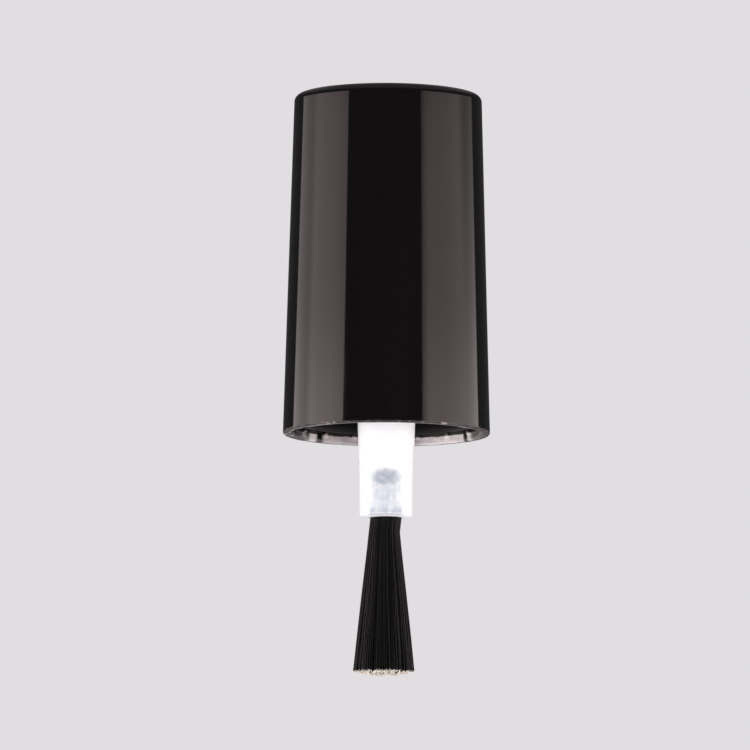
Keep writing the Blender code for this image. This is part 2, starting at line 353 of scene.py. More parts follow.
def turned(name, profile, angles, shape=None):
    """A closed turned mesh. Its profile of (r, z) runs from the axis, down the outside and back.

    shape(r, z, angles) gives each ring's own r and z, for ribs, threads and the like.
    """
    points, rings = [], []
    cosines, sines = np.cos(angles), np.sin(angles)
    for radius, height in profile:
        start = len(points)
        if radius < TINY:
            points.append((0.0, 0.0, height))
            rings.append([start])
            continue
        radii, heights = np.full(len(angles), radius), np.full(len(angles), height)
        if shape:
            radii, heights = shape(radii, heights, angles)
        points += list(zip(radii * cosines, radii * sines, heights))
        rings.append(list(range(start, start + len(angles))))
    return finished(name, points, between(rings))


def between(rings):
    """Faces from each ring of points to the next, where a ring of one point is a closed end."""
    faces = []
    for upper, lower in zip(rings, rings[1:]):
        count = max(len(upper), len(lower))
        for i in range(count):
            j = (i + 1) % count
            if len(upper) == 1:
                faces.append((upper[0], lower[i], lower[j]))
            elif len(lower) == 1:
                faces.append((upper[i], lower[0], upper[j]))
            else:
                faces.append((upper[i], lower[i], lower[j], upper[j]))
    return faces


def finished(name, points, faces, sharp_degrees=40):
    """A piece with smooth faces, and sharp edges only where it turns steeply."""
    mesh = bpy.data.meshes.new(name)
    mesh.from_pydata([tuple(p) for p in points], [], faces)
    mesh.shade_smooth()
    mesh.set_sharp_from_angle(angle=math.radians(sharp_degrees))
    mesh.validate()
    piece = bpy.data.objects.new(name, mesh)
    bpy.context.scene.collection.objects.link(piece)
    return piece


def paint(piece, name, values):
    """A number for each vertex, which the materials read by name."""
    attribute = piece.data.attributes.new(name, "FLOAT", "POINT")
    attribute.data.foreach_set("value", np.asarray(values, np.float32))


def to_nearest_rib(angles, count):
    """Angle from each place to the middle of the nearest of count ribs."""
    pitch = 2 * math.pi / count
    return np.abs(angles % pitch - pitch / 2)


def rib(radii, angles, count, half_width, height):
    """How far evenly spaced ribs stand out of a wall."""
    aside = to_nearest_rib(angles, count) * radii
    return height * smooth(aside, half_width, half_width - RIB_EDGE)


# ---------------------------------------------------------------- outer cap

def cap_outer_r(height):
    return RIM_R - CAP_TAPER * height


def cap_inner_r(height):
    return cap_outer_r(height) - CAP_WALL


def rim_wave(angles):
    """The rim's small unevenness: a few waves round it, each with a count, a size and a start."""
    waves = (size * np.sin(count * angles + start) for count, size, start in RIM_WAVES)
    return RIM_WAVE * sum(waves)


def shell_shape(radii, heights, angles):
    """Ribs on the inner wall and a slightly uneven rim."""
    height = heights[0]
    inside = radii[0] < cap_inner_r(height) + MOUTH_EDGE * 1.01
    near_rim = 1.0 - smooth(height, RIM_WAVE_FULL, RIM_WAVE_TOP)
    if inside and height < CAP_HEIGHT - CAP_ROOF:
        radii = radii + near_rim * rim_wave(angles)
        lead = smooth(height, GRIP_FOOT, GRIP_FOOT + GRIP_LEAD)
        if height <= DECK_TOP:
            radii = radii - lead * rib(radii, angles, GRIP_RIBS, GRIP_HALF_WIDTH, GRIP_HEIGHT)
        else:
            radii = radii - rib(radii, angles, STOP_RIBS, STOP_HALF_WIDTH, STOP_HEIGHT)
    if height < RIM_EDGE_R / 2:
        heights = heights + RIM_WAVE_DOWN * rim_wave(angles + RIM_WAVE_TURN)
    return radii, heights


def bare_and_shade_share(angles):
    """How much pale plastic shows on the mouth's wall: most at the front and back, with dark
    notches near the edges of that, and little at the sides. The notches are painted rib shadows,
    and the lower share from 72° to 131° is painted shade. The table has it by degrees, for each
    half turn.
    """
    return np.interp(np.degrees(angles) % 180, *zip(*BARE_AND_SHADE))


def make_cap_shell():
    top_r = cap_outer_r(CAP_HEIGHT - TOP_EDGE_R) - TOP_EDGE_R
    roof = CAP_HEIGHT - CAP_ROOF
    profile = [(0.0, CAP_HEIGHT - TOP_DISH)]
    for share in (0.15, 0.35, 0.55, 0.75, 0.9):
        profile.append((top_r * share, CAP_HEIGHT - TOP_DISH * (1 - share ** 2) ** 2))
    profile += arc(top_r, CAP_HEIGHT - TOP_EDGE_R, TOP_EDGE_R, 90, 0, 10)
    rim_corner = (cap_outer_r(RIM_EDGE_R), RIM_EDGE_R)
    flat_from, flat_to = CAP_HEIGHT - TOP_EDGE_R - FLAT_MARGIN, RIM_EDGE_R + FLAT_MARGIN
    profile.append((cap_outer_r(flat_from), flat_from))
    profile += line(profile[-1], (cap_outer_r(flat_to), flat_to), 26)
    profile.append(rim_corner)
    profile += arc(rim_corner[0] - RIM_EDGE_R, RIM_EDGE_R, RIM_EDGE_R, 0, -90)[1:]
    outside_points = len(profile)
    mouth_r = cap_inner_r(0.0) + MOUTH_EDGE
    profile += line(profile[-1], (mouth_r, 0.0), 2)
    profile += arc(mouth_r, MOUTH_EDGE, MOUTH_EDGE, -90, -180)[1:]
    heights = list(MOUTH_ROWS) + list(np.linspace(MOUTH_ROWS[-1], DECK_TOP, 10)[1:])
    corner = ROOF_CORNER_R
    heights += list(np.linspace(DECK_TOP + 0.05 * MM, roof - corner, 10))
    profile += [(cap_inner_r(h), h) for h in heights]
    profile += arc(cap_inner_r(roof) - corner, roof - corner, corner, 0, 90)[1:]
    gate_end = roof - GATE_LENGTH
    profile += [(GATE_R, roof), (GATE_END_R, gate_end), (0.0, gate_end)]
    ribs = [
        (GRIP_RIBS, GRIP_HALF_WIDTH, cap_inner_r(DECK_TOP / 2)),
        (STOP_RIBS, STOP_HALF_WIDTH, cap_inner_r(roof) - STOP_HEIGHT / 2),
    ]
    angles = angles_with_ribs(ROUND_STEPS, ribs)
    shell = turned("cap_shell", profile, angles, shell_shape)
    # The mouth's pale plastic, with painted rib shadows and painted shade in it.
    rings_inside = np.arange(1, len(profile) - 1) > outside_points
    bare_and_shade = np.outer(rings_inside, bare_and_shade_share(angles))
    paint(shell, "bare_and_shade", np.concatenate([[0.0], bare_and_shade.ravel(), [1.0]]))
    return shell


# ---------------------------------------------------------------- liner

def thread(heights, angles):
    """How far the right-handed thread stands into the bore."""
    rise = np.zeros(len(angles))
    for turn in range(THREAD_TURNS + 1):
        along = turn + angles / (2 * math.pi)
        away = np.abs(heights - THREAD_START - THREAD_PITCH * along)
        section = np.clip((THREAD_HALF_FOOT - away) / (THREAD_HALF_FOOT - THREAD_HALF_CREST), 0, 1)
        ends = smooth(along, -THREAD_RUN_IN, THREAD_RUN_IN)
        ends = ends * smooth(along, THREAD_TURNS + THREAD_RUN_IN, THREAD_TURNS - THREAD_RUN_IN)
        rise = np.maximum(rise, THREAD_HEIGHT * section * ends)
    return rise


def liner_shape(radii, heights, angles):
    if abs(radii[0] - BORE_R) < TINY:
        radii = radii - thread(heights, angles)
    return radii, heights


def make_cap_liner():
    def outer_r(height):
        return cap_inner_r(height) - LINER_GAP

    edge, lip, corner = LINER_EDGE, BORE_LIP_R, BORE_CORNER_R
    roof = BOSS_TOP - BOSS_ROOF
    thread_end = THREAD_START + THREAD_PITCH * THREAD_TURNS + THREAD_HALF_FOOT
    profile = [(0.0, BOSS_TOP)]
    profile += arc(BOSS_R - edge, BOSS_TOP - edge, edge, 90, 0)
    profile += arc(BOSS_R + BOSS_FILLET, DECK_TOP + BOSS_FILLET, BOSS_FILLET, 180, 270)
    profile += arc(outer_r(DECK_TOP) - edge, DECK_TOP - edge, edge, 90, 0)
    profile += line(profile[-1], (outer_r(LINER_LIP + edge), LINER_LIP + edge), 12)
    profile += arc(outer_r(LINER_LIP) - edge, LINER_LIP + edge, edge, 0, -90)[1:]
    profile += arc(BORE_R + lip, LINER_LIP + lip, lip, -90, -170)
    rows = int((thread_end - THREAD_ROWS_FROM) / THREAD_ROW)
    rows_end = thread_end + THREAD_ROWS_PAST
    profile += [(BORE_R, h) for h in np.linspace(THREAD_ROWS_FROM, rows_end, rows)]
    profile += [(BORE_R, DECK_UNDERSIDE - corner)]
    profile += arc(BORE_R - corner, DECK_UNDERSIDE - corner, corner, 0, 90)[1:]
    profile += [
        (BOSS_BORE_R + BOSS_BORE_CHAMFER, DECK_UNDERSIDE),
        (BOSS_BORE_R, DECK_UNDERSIDE + BOSS_BORE_CHAMFER),
        (BOSS_BORE_R, GROOVE_HEIGHT - GROOVE_HALF_LENGTH),
        (BOSS_BORE_R + GROOVE_RISE, GROOVE_HEIGHT - GROOVE_HALF_FLOOR),
        (BOSS_BORE_R + GROOVE_RISE, GROOVE_HEIGHT + GROOVE_HALF_FLOOR),
        (BOSS_BORE_R, GROOVE_HEIGHT + GROOVE_HALF_LENGTH),
        (BOSS_BORE_R, roof),
        (0.0, roof),
    ]
    return turned("cap_liner", profile, even_angles(ROUND_STEPS), liner_shape)


# ---------------------------------------------------------------- stem and anchor

def stem_r(height):
    return STEM_RIM_R + (STEM_END_R - STEM_RIM_R) * height / STEM_END


def stem_shape(radii, heights, angles):
    """A faint parting line down both sides of the rod."""
    height = heights[0]
    if STEM_END < height < FLANGE_UNDERSIDE and radii[0] > STEM_END_R * 0.99:
        aside = to_nearest_rib(angles + math.pi / 2, 2) * radii
        radii = radii + PARTING_RISE * smooth(aside, PARTING_HALF_WIDTH, 0.0)
    return radii, heights


def make_stem_body():
    fillet_foot = FLANGE_UNDERSIDE - FLANGE_FILLET
    edge = FLANGE_EDGE
    profile = [(0.0, PLUG_TOP)]
    profile += arc(PLUG_R - PLUG_EDGE, PLUG_TOP - PLUG_EDGE, PLUG_EDGE, 90, 0)
    snap_top = GROOVE_HEIGHT + SNAP_HALF_LENGTH
    for share in np.linspace(0.0, 1.0, 13):
        rise = SNAP_RISE * math.sin(math.pi * share) ** 2
        profile.append((PLUG_R + rise, snap_top - 2 * SNAP_HALF_LENGTH * share))
    profile += arc(PLUG_R + PLUG_FILLET, FLANGE_TOP + PLUG_FILLET, PLUG_FILLET, 180, 270)
    profile += arc(FLANGE_R - edge, FLANGE_TOP - edge, edge, 90, 0)
    profile += arc(FLANGE_R - edge, FLANGE_UNDERSIDE + edge, edge, 0, -90)
    profile += arc(stem_r(fillet_foot) + FLANGE_FILLET, fillet_foot, FLANGE_FILLET, 90, 180, 10)
    rod_end = (stem_r(STEM_END + STEM_EDGE), STEM_END + END_RISE + STEM_EDGE)
    profile += line(profile[-1], rod_end, 30)
    profile += arc(rod_end[0] - STEM_EDGE, rod_end[1], STEM_EDGE, 0, -90)[1:]
    mouth = (SOCKET_MOUTH_R, STEM_END - MOUTH_LIP + MOUTH_LIP_R)
    profile += arc(SOCKET_MOUTH_R + MOUTH_LIP_R, mouth[1], MOUTH_LIP_R, -90, -180)
    profile += line(mouth, (SOCKET_R, SOCKET_NARROW), 6)
    corner = SOCKET_CORNER_R
    profile += line(profile[-1], (SOCKET_R, SOCKET_TOP - corner), 6)
    profile += arc(SOCKET_R - corner, SOCKET_TOP - corner, corner, 0, 90)[1:]
    profile += [(0.0, SOCKET_TOP)]
    steps = even_angles(STEM_STEPS)
    fine = [a * PARTING_HALF_WIDTH / STEM_END_R for a in (-1.0, -0.5, 0.5, 1.0)]
    seams = np.array([side + a for side in (0.0, math.pi) for a in fine])
    angles = np.sort(np.concatenate([steps, seams % (2 * math.pi)]))
    return turned("stem_body", profile, angles, stem_shape)


def make_anchor_plate():
    """A short piece of flat wire, with a rounded outline and soft edges."""
    low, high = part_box("anchor_staple")
    centre, half = (low + high) / 2, (high - low) / 2
    outline = []
    corners = [(1, 1, 0), (-1, 1, 90), (-1, -1, 180), (1, -1, 270)]
    for side_x, side_z, start in corners:
        middle_x, middle_z = side_x * (half.x - ANCHOR_CORNER), side_z * (half.z - ANCHOR_CORNER)
        outline += arc(middle_x, middle_z, ANCHOR_CORNER, start, start + 90, 8)
    layers = [(0.0, -half.y), (ANCHOR_RING, -half.y)]
    for turn in np.radians(np.linspace(-90, 0, 5)):
        inset = ANCHOR_EDGE * (1 - math.cos(turn))
        layers.append((1.0 - inset / half.z, -half.y + ANCHOR_EDGE * (1 + math.sin(turn))))
    layers += [(scale, -depth) for scale, depth in reversed(layers)]
    points, rings = [], []
    for scale, depth in layers:
        start = len(points)
        if scale == 0.0:
            points.append((centre.x, centre.y + depth, centre.z))
            rings.append([start])
            continue
        ring = [(x * scale, z * scale) for x, z in outline]
        points += [(centre.x + x, centre.y + depth, centre.z + z) for x, z in ring]
        rings.append(list(range(start, len(points))))
    return finished("anchor_plate", points, between(rings))


# ---------------------------------------------------------------- filaments

def tuft_r(depth):
    """Half-width of the tuft at a depth below the stem: straight at first, then flaring."""
    share = np.clip((depth - TUFT_STRAIGHT) / (TUFT_LENGTH - TUFT_STRAIGHT), 0.0, 1.0)
    return TUFT_NECK_R + (TUFT_TIP_R - TUFT_NECK_R) * share ** FLARE_POWER


def half_disc(count, draw):
    """Places spread evenly over the half of the unit disc with v above 0."""
    places = []
    golden = math.pi * (3 - math.sqrt(5))
    total = 2 * count
    i = 0
    while len(places) < count:
        radius = math.sqrt((i + 0.5) / total) * DISC_FILL
        turn = i * golden
        u, v = radius * math.cos(turn), radius * math.sin(turn)
        if v > 0:
            places.append((u, v))
        i += 1
    spread = np.array(places)
    return spread + draw.normal(0, PLACE_SCATTER, spread.shape)


def clumped(places, draw, pull):
    """Places drawn a little towards the nearest of some clump centres."""
    turns = draw.uniform(0, 2 * math.pi, CLUMPS)
    radii = np.sqrt(draw.uniform(0, 1, CLUMPS)) * CLUMP_DISC_FILL
    centres = np.stack([radii * np.cos(turns), radii * np.sin(turns)], 1)
    gaps = np.linalg.norm(places[:, None] - centres[None], axis=2)
    nearest = centres[gaps.argmin(1)]
    return places + (nearest - places) * pull


def free_leg(places, tips, draw):
    """Points of each filament's leg from the fold down to its cut tip: (filaments, points, 3)."""
    depths = np.concatenate([
        np.linspace(FOLD_HEIGHT, SOCKET_NARROW, 3)[1:] - STEM_END,
        np.linspace(SOCKET_NARROW, STEM_END, 4)[1:] - STEM_END,
    ])
    down = np.linspace(0.0, 1.0, 11)[1:]
    count = len(places)
    inner = places.copy()
    sign = np.sign(places[:, 1])
    across = np.abs(places[:, 1])
    squeezed = FOLD_GAP + (1 - FOLD_GAP) * across
    inner[:, 1] = sign * squeezed
    inner[:, 0] *= np.sqrt(np.clip(1 - squeezed ** 2, 0.02, 1) / np.clip(1 - across ** 2, 0.02, 1))
    ends = clumped(places, draw, CLUMP_PULL)
    waves = draw.uniform(0, 2 * math.pi, (count, 2))
    lean = draw.normal(0, 1.0, (count, 2))
    rows = []
    for depth in depths:
        share = smooth(depth, SOCKET_NARROW - STEM_END, 0.0)
        radius = ROOT_R + (TUFT_NECK_R - ROOT_R) * share
        spot = (inner * (1 - share) + places * share) * radius
        rows.append(np.column_stack([spot, np.full(count, STEM_END + depth)]))
    for share in down:
        depth = tips * share
        radius = tuft_r(depth)
        spot = (places * (1 - share) + ends * share) * radius[:, None]
        sway = np.sin(waves + WANDER_TURN * share) - np.sin(waves)
        spot = spot + WANDER * share * (sway + WANDER_LEAN * lean * share)
        spot[:, 0] += TUFT_LEAN * smooth(depth, 0.0, TUFT_STRAIGHT)
        rows.append(np.column_stack([spot, STEM_END - depth]))
    return np.stack(rows, 1)


def make_bristles():
    draw = np.random.default_rng(SEED)
    front = half_disc(FILAMENTS, draw) * (1, -1)
    back = front * (1, -1) + draw.normal(0, PAIR_SCATTER, front.shape)
    order = draw.normal(0, TIP_SCATTER, (2, FILAMENTS))
    legs = []
    for side, places in enumerate((front, back)):
        crown = TIP_CROWN * np.clip((places ** 2).sum(1), 0, 1)
        slant = TIP_SLANT * places[:, 1]
        tips = TUFT_LENGTH + CROWN_BELOW_CAD - crown - slant - np.abs(order[side])
        legs.append(free_leg(places, tips, draw))
    front_leg, back_leg = legs
    fold = []
    for turn in np.radians(np.linspace(0, 180, 7))[1:-1]:
        share = (1 - math.cos(turn)) / 2
        start, end = front_leg[:, 0], back_leg[:, 0]
        spot = start * (1 - share) + end * share
        spot[:, 2] = FOLD_HEIGHT + math.sin(turn) * np.abs(end[:, 1] - start[:, 1]) / 2
        fold.append(spot)
    start_top, end_top = front_leg[:, :1].copy(), back_leg[:, :1].copy()
    start_top[:, :, 2] = FOLD_HEIGHT
    end_top[:, :, 2] = FOLD_HEIGHT
    paths = np.concatenate(
        [front_leg[:, ::-1], start_top, np.stack(fold, 1), end_top, back_leg], axis=1
    )
    outer = smooth(np.hypot(*front.T), OUTER_FROM, OUTER_TO)
    pale_length = TIP_COLOUR_LENGTH + (OUTER_TIP_COLOUR_LENGTH - TIP_COLOUR_LENGTH) * outer
    return strands("bristles", paths, pale_length, draw)


def strands(name, paths, pale_length, draw):
    """One mesh of thin tubes along the paths, with cut ends that are pale for a given length."""
    count, length, _ = paths.shape
    sides = FILAMENT_SIDES
    along = np.gradient(paths, axis=1)
    along /= np.linalg.norm(along, axis=2, keepdims=True)
    aside = np.array([1.0, 0.0, 0.0]) - along * along[:, :, :1]
    aside /= np.linalg.norm(aside, axis=2, keepdims=True)
    across = np.cross(along, aside)
    turns = even_angles(sides)
    ring = (
        np.cos(turns)[None, None, :, None] * aside[:, :, None]
        + np.sin(turns)[None, None, :, None] * across[:, :, None]
    )
    girth = FILAMENT_R * draw.uniform(*GIRTHS, count)
    points = paths[:, :, None] + ring * girth[:, None, None, None]
    faces = []
    for strand in range(count):
        first = strand * length * sides
        for row in range(length - 1):
            base = first + row * sides
            for i in range(sides):
                j = (i + 1) % sides
                faces.append((base + i, base + j, base + sides + j, base + sides + i))
        last = first + (length - 1) * sides
        faces.append(tuple(first + i for i in reversed(range(sides))))
        faces.append(tuple(last + i for i in range(sides)))
    piece = finished(name, points.reshape(-1, 3), faces)
    tip_height = np.repeat(paths[:, [0, -1], 2], [length // 2, length - length // 2], axis=1)
    above_tip = paths[:, :, 2] - tip_height
    shade = np.repeat(draw.uniform(0, 1, count)[:, None], length, axis=1)
    from_cut = above_tip / pale_length[:, None]
    paint(piece, "from_cut", np.repeat(from_cut, sides, axis=1).ravel())
    paint(piece, "shade", np.repeat(shade, sides, axis=1).ravel())
    return piece


# ---------------------------------------------------------------- materials

class Nodes:
    """Builds a node tree. Every value is a number, a colour or another node's output."""

    def __init__(self, tree):
        self.tree = tree

    def set(self, node, socket, value):
        if isinstance(value, bpy.types.NodeSocket):
            self.tree.links.new(value, node.inputs[socket])
        else:
            node.inputs[socket].default_value = value

    def node(self, kind, inputs=None, **settings):
        made = self.tree.nodes.new("ShaderNode" + kind)
        for key, value in settings.items():
            setattr(made, key, value)
        for socket, value in (inputs or {}).items():
            self.set(made, socket, value)
        return made

    def remap(self, value, low, high, to_low=0.0, to_high=1.0, soft=True):
        """value from low..high to to_low..to_high, kept within them."""
        inputs = {"Value": value, "From Min": low, "From Max": high,
                  "To Min": to_low, "To Max": to_high}
        kind = "SMOOTHSTEP" if soft else "LINEAR"
        return self.node("MapRange", inputs, interpolation_type=kind).outputs[0]

    def maths(self, operation, *values):
        return self.node("Math", dict(enumerate(values)), operation=operation).outputs[0]


class Finish(Nodes):
    """A material made of nodes round one Principled shader."""

    def __init__(self, name, uniform):
        self.material = bpy.data.materials.new(name)
        self.material.use_nodes = True
        super().__init__(self.material.node_tree)
        self.surface = self.tree.nodes["Principled BSDF"]
        self.place = self.node("TexCoord").outputs["Object"]
        for socket, value in uniform.items():
            self.set(self.surface, socket, value)

    def noise(self, size, stretch=(1, 1, 1), detail=3.0):
        """Cloudy noise from 0 to 1, with spots about size metres wide times stretch."""
        scale = [1 / (size * s) for s in stretch]
        place = self.node("Mapping", {"Vector": self.place, "Scale": scale}).outputs[0]
        return self.node("TexNoise", {"Vector": place, "Scale": 1.0, "Detail": detail}).outputs[0]

    def attribute(self, name):
        return self.node("Attribute", attribute_name=name).outputs["Fac"]

    def axis(self, letter):
        return self.node("SeparateXYZ", {"Vector": self.place}).outputs[letter]

    def mix(self, share, first, second):
        """A colour between first and second, each a colour or a socket."""
        made = self.node("Mix", data_type="RGBA")
        self.set(made, 0, share)
        for socket, colour in ((6, first), (7, second)):
            self.set(made, socket, colour if isinstance(colour, bpy.types.NodeSocket)
                     else (*colour, 1.0))
        return made.outputs[2]

    def bump(self, height, depth):
        """The normal of a surface with the given height from 0 to 1, which is depth deep."""
        return self.node("Bump", {"Height": height, "Distance": depth, "Strength": 1.0}).outputs[0]

    def apply(self, piece, **linked):
        for socket, value in linked.items():
            self.set(self.surface, socket.replace("_", " ").title(), value)
        piece.data.materials.clear()
        piece.data.materials.append(self.material)


def finish_cap_shell(piece):
    """Sprayed gloss black, thin at the rim's edge with pale flecks that are in part a painted
    highlight, over pale plastic that shows in the mouth.
    """
    look = Finish("sprayed_gloss_black", {
        "IOR": 1.5,
        "Specular Tint": (1.0, 0.86, 0.87, 1.0),
    })
    height = look.axis("Z")
    clouds = look.noise(4 * MM, (1, 1, 6))
    grain = look.noise(0.12 * MM, detail=2.0)
    lacquer = look.mix(clouds, *LACQUER)
    # The rim's edge: wear of the paint, with pale flecks that are in part a painted highlight.
    ragged = look.maths("MULTIPLY", look.noise(0.5 * MM, (1, 1, 0.4)), RAGGEDNESS)
    wear_and_highlight = look.remap(look.maths("ADD", height, ragged), WEAR_AND_HIGHLIGHT_FROM, WEAR_AND_HIGHLIGHT_TO)
    chips_and_highlight = look.remap(look.noise(0.55 * MM, (1, 1, 0.5), detail=2.0), 0.50, 0.66)
    chips_and_highlight = look.maths("MULTIPLY", chips_and_highlight, look.remap(look.noise(3.5 * MM), 0.45, 0.6, 0.15, 1.0))
    with_wear_and_highlight = look.mix(wear_and_highlight, lacquer, look.mix(chips_and_highlight, *WORN_EDGE_AND_HIGHLIGHT))
    raised = look.maths("ADD", height, look.maths("MULTIPLY", ragged, 0.6))
    below_limit = look.remap(raised, BARE_NONE_FROM, BARE_TO)
    patches = look.remap(look.noise(0.7 * MM, (1, 1, 0.6)), 0.35, 0.62, 0.8, 1.0)
    # The pale plastic's share, with painted rib shadows and painted shade in it.
    bare_and_shade_map = look.attribute("bare_and_shade")
    bare_and_shade = look.maths("MULTIPLY", bare_and_shade_map, look.maths("MULTIPLY", patches, below_limit))
    colour = look.mix(bare_and_shade, with_wear_and_highlight, look.mix(grain, *BARE_PLASTIC))
    rub = look.remap(look.noise(0.9 * MM, (1, 1, 9)), 0.45, 0.8, *LACQUER_ROUGHNESS)
    bare_matt = look.maths("MULTIPLY", bare_and_shade_map, BARE_ROUGHNESS)
    matt = look.maths("MAXIMUM", bare_matt, look.maths("MULTIPLY", wear_and_highlight, WORN_ROUGHNESS))
    roughness = look.maths("MAXIMUM", rub, matt)
    peel = look.bump(look.noise(1.6 * MM, (1, 1, 2.5), detail=1.0), LACQUER_PEEL)
    look.apply(piece, base_color=colour, roughness=roughness, normal=peel)


def finish_cap_liner(piece):
    """Moulded black with a fine satin grain."""
    look = Finish("moulded_black", {"IOR": 1.49, "Specular IOR Level": 0.1})
    grain = look.noise(0.08 * MM, detail=2.0)
    colour = look.mix(look.noise(2 * MM), *LINER_BLACK)
    roughness = look.remap(grain, *NOISE_SPAN, *LINER_ROUGHNESS, soft=False)
    look.apply(piece, base_color=colour, roughness=roughness, normal=look.bump(grain, LINER_GRAIN))


def finish_stem(piece):
    """Milky moulded plastic, with painted shade over the anchor and filaments inside and painted
    light at its top.
    """
    look = Finish("milky_plastic", {
        "IOR": 1.49,
        "Subsurface Weight": 1.0,
        "Subsurface Radius": (1.0, 1.0, 1.05),
        "Subsurface Scale": 0.35 * MM,
    })
    low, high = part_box("anchor_staple")
    half = (high - low) / 2
    aside, height = look.axis("X"), look.axis("Z")
    place = look.node("Mapping", {
        "Vector": look.place,
        "Location": (HAZE_ASIDE, 0.0, -HAZE_HEIGHT / half.z),
        "Scale": (HAZE_ACROSS / half.x, 0.0, 1 / half.z),
    }).outputs[0]
    away = look.node("VectorMath", {0: place}, operation="LENGTH").outputs["Value"]
    cloudy = look.remap(look.noise(0.5 * MM, detail=1.0), *NOISE_SPAN, -0.08, 0.08, soft=False)
    # Painted shade of the anchor, on the faces in front of and behind it.
    anchor = look.remap(look.maths("ADD", away, cloudy), HAZE_NONE, HAZE_FULL)
    spread = look.remap(height, HAZE_HEIGHT, STEM_END, 0.0, ROOTS_SPREAD, soft=False)
    from_middle = look.maths("ABSOLUTE", look.maths("ADD", aside, ROOTS_ASIDE))
    beyond = look.maths("SUBTRACT", from_middle, spread)
    # Painted shade of the filaments' roots.
    roots = look.remap(beyond, ROOTS_NONE, ROOTS_FULL, 0.0, ROOTS_STRENGTH)
    roots = look.maths("MULTIPLY", roots, look.remap(height, HAZE_HEIGHT, HAZE_HEIGHT - half.z))
    streaks = look.remap(look.noise(0.28 * MM, (1, 1, 5)), 0.35, 0.65, 0.72, 1.1, soft=False)
    roots = look.maths("MULTIPLY", roots, streaks)
    near_end = look.remap(
        height, END_SHADE_FROM, END_SHADE_TO, 1.0, END_SHADE_STRENGTH)
    roots = look.maths("MULTIPLY", roots, near_end)
    above_lip = look.remap(height, HAZE_NONE_BELOW, HAZE_FULL_ABOVE)
    from_axis = look.maths("ABSOLUTE", look.axis("Y"))
    facing = look.remap(from_axis, HAZE_FACE_NONE, HAZE_FACE_FULL)
    inside = look.maths("MAXIMUM", anchor, roots)
    painted_shade = look.maths("MULTIPLY", look.maths("MULTIPLY", inside, facing), above_lip)
    clouded_milk = look.mix(look.noise(1.2 * MM, (1, 1, 5)), *MILK)
    # From the socket's top up the milk turns lighter: painted light against the cap's shade on the
    # stem's top.
    milk = look.mix(look.remap(height, SOCKET_TOP, PAINTED_LIGHT_FROM), clouded_milk, PAINTED_LIGHT_MILK)
    mottle = look.remap(look.noise(0.42 * MM, detail=1.0), 0.38, 0.62)
    # The milk takes on the painted shade.
    colour = look.mix(painted_shade, milk, look.mix(mottle, *PAINTED_SHADE_GREY))
    roughness = look.remap(look.noise(0.3 * MM), *NOISE_SPAN, *MILK_ROUGHNESS, soft=False)
    draw_lines = look.bump(look.noise(0.5 * MM, (1, 1, 12), detail=1.0), MILK_LINES)
    look.apply(piece, base_color=colour, roughness=roughness, normal=draw_lines)


def finish_anchor(piece):
    """Drawn metal wire with fine lines along it."""
    look = Finish("drawn_metal", {"Metallic": 1.0})
    lines = look.noise(0.03 * MM, (12, 1, 1))
    colour = look.mix(lines, *WIRE)
    roughness = look.remap(lines, *NOISE_SPAN, *WIRE_ROUGHNESS, soft=False)
    look.apply(piece, base_color=colour, roughness=roughness, normal=look.bump(lines, WIRE_LINES))


def finish_bristles(piece):
    """Black synthetic filament whose tips are pale for a short length."""
    look = Finish("black_filament", {"IOR": 1.45, "Specular IOR Level": 0.28})
    shade = look.attribute("shade")
    cut = look.remap(look.attribute("from_cut"), *TIP_FADE)
    colour = look.mix(cut, look.mix(shade, *FILAMENT_BLACK), look.mix(shade, *FILAMENT_CUT))
    rub = look.noise(0.2 * MM, (1, 1, 6))
    roughness = look.remap(rub, *NOISE_SPAN, *FILAMENT_ROUGHNESS, soft=False)
    look.apply(piece, base_color=colour, roughness=roughness)


# ---------------------------------------------------------------- camera, light and floor

def make_camera():
    data = bpy.data.cameras.new("camera")
    data.lens = CAMERA_LENS
    data.sensor_width = SENSOR_WIDTH
    data.clip_end = 100.0
    camera = bpy.data.objects.new("camera", data)
    bpy.context.scene.collection.objects.link(camera)
    bpy.context.scene.camera = camera
    low, high = CAD_BOX
    aim = (low + high) / 2 + Vector((AIM_ASIDE, 0.0, AIM_ABOVE_MIDDLE))
    back = Vector((0.0, -math.cos(CAMERA_ELEVATION), math.sin(CAMERA_ELEVATION)))
    camera.location = aim + back * CAMERA_DISTANCE
    level = (-back).to_track_quat("-Z", "Y")
    camera.rotation_mode = "QUATERNION"
    camera.rotation_quaternion = level @ Quaternion((0.0, 0.0, 1.0), CAMERA_ROLL)


def empty_nodes(owner):
    """The node tree of a world or a light, emptied."""
    owner.use_nodes = True
    owner.node_tree.nodes.clear()
    return Nodes(owner.node_tree)


def make_room():
    """Plain backdrop for the camera; for light, a dim room under a bright ceiling."""
    world = bpy.data.worlds.new("room")
    bpy.context.scene.world = world
    room = empty_nodes(world)
    ray = room.node("LightPath").outputs
    seen = room.node("Background", {"Color": (*BACKDROP, 1.0)}).outputs[0]
    direction = room.node("SeparateXYZ", {0: room.node("TexCoord").outputs["Generated"]})
    above = room.remap(direction.outputs["Z"], CEILING_FROM, CEILING_TO)
    ceiling = room.remap(
        ray["Is Diffuse Ray"], 0.0, 1.0, CEILING_IN_GLOSS, CEILING, soft=False)
    level = room.maths("ADD", room.maths("MULTIPLY", above, ceiling), ROOM_DIM)
    lit = room.node("Background", {"Strength": level}).outputs[0]
    chosen = room.node("MixShader", {0: ray["Is Camera Ray"], 1: lit, 2: seen})
    room.node("OutputWorld", {"Surface": chosen.outputs[0]})


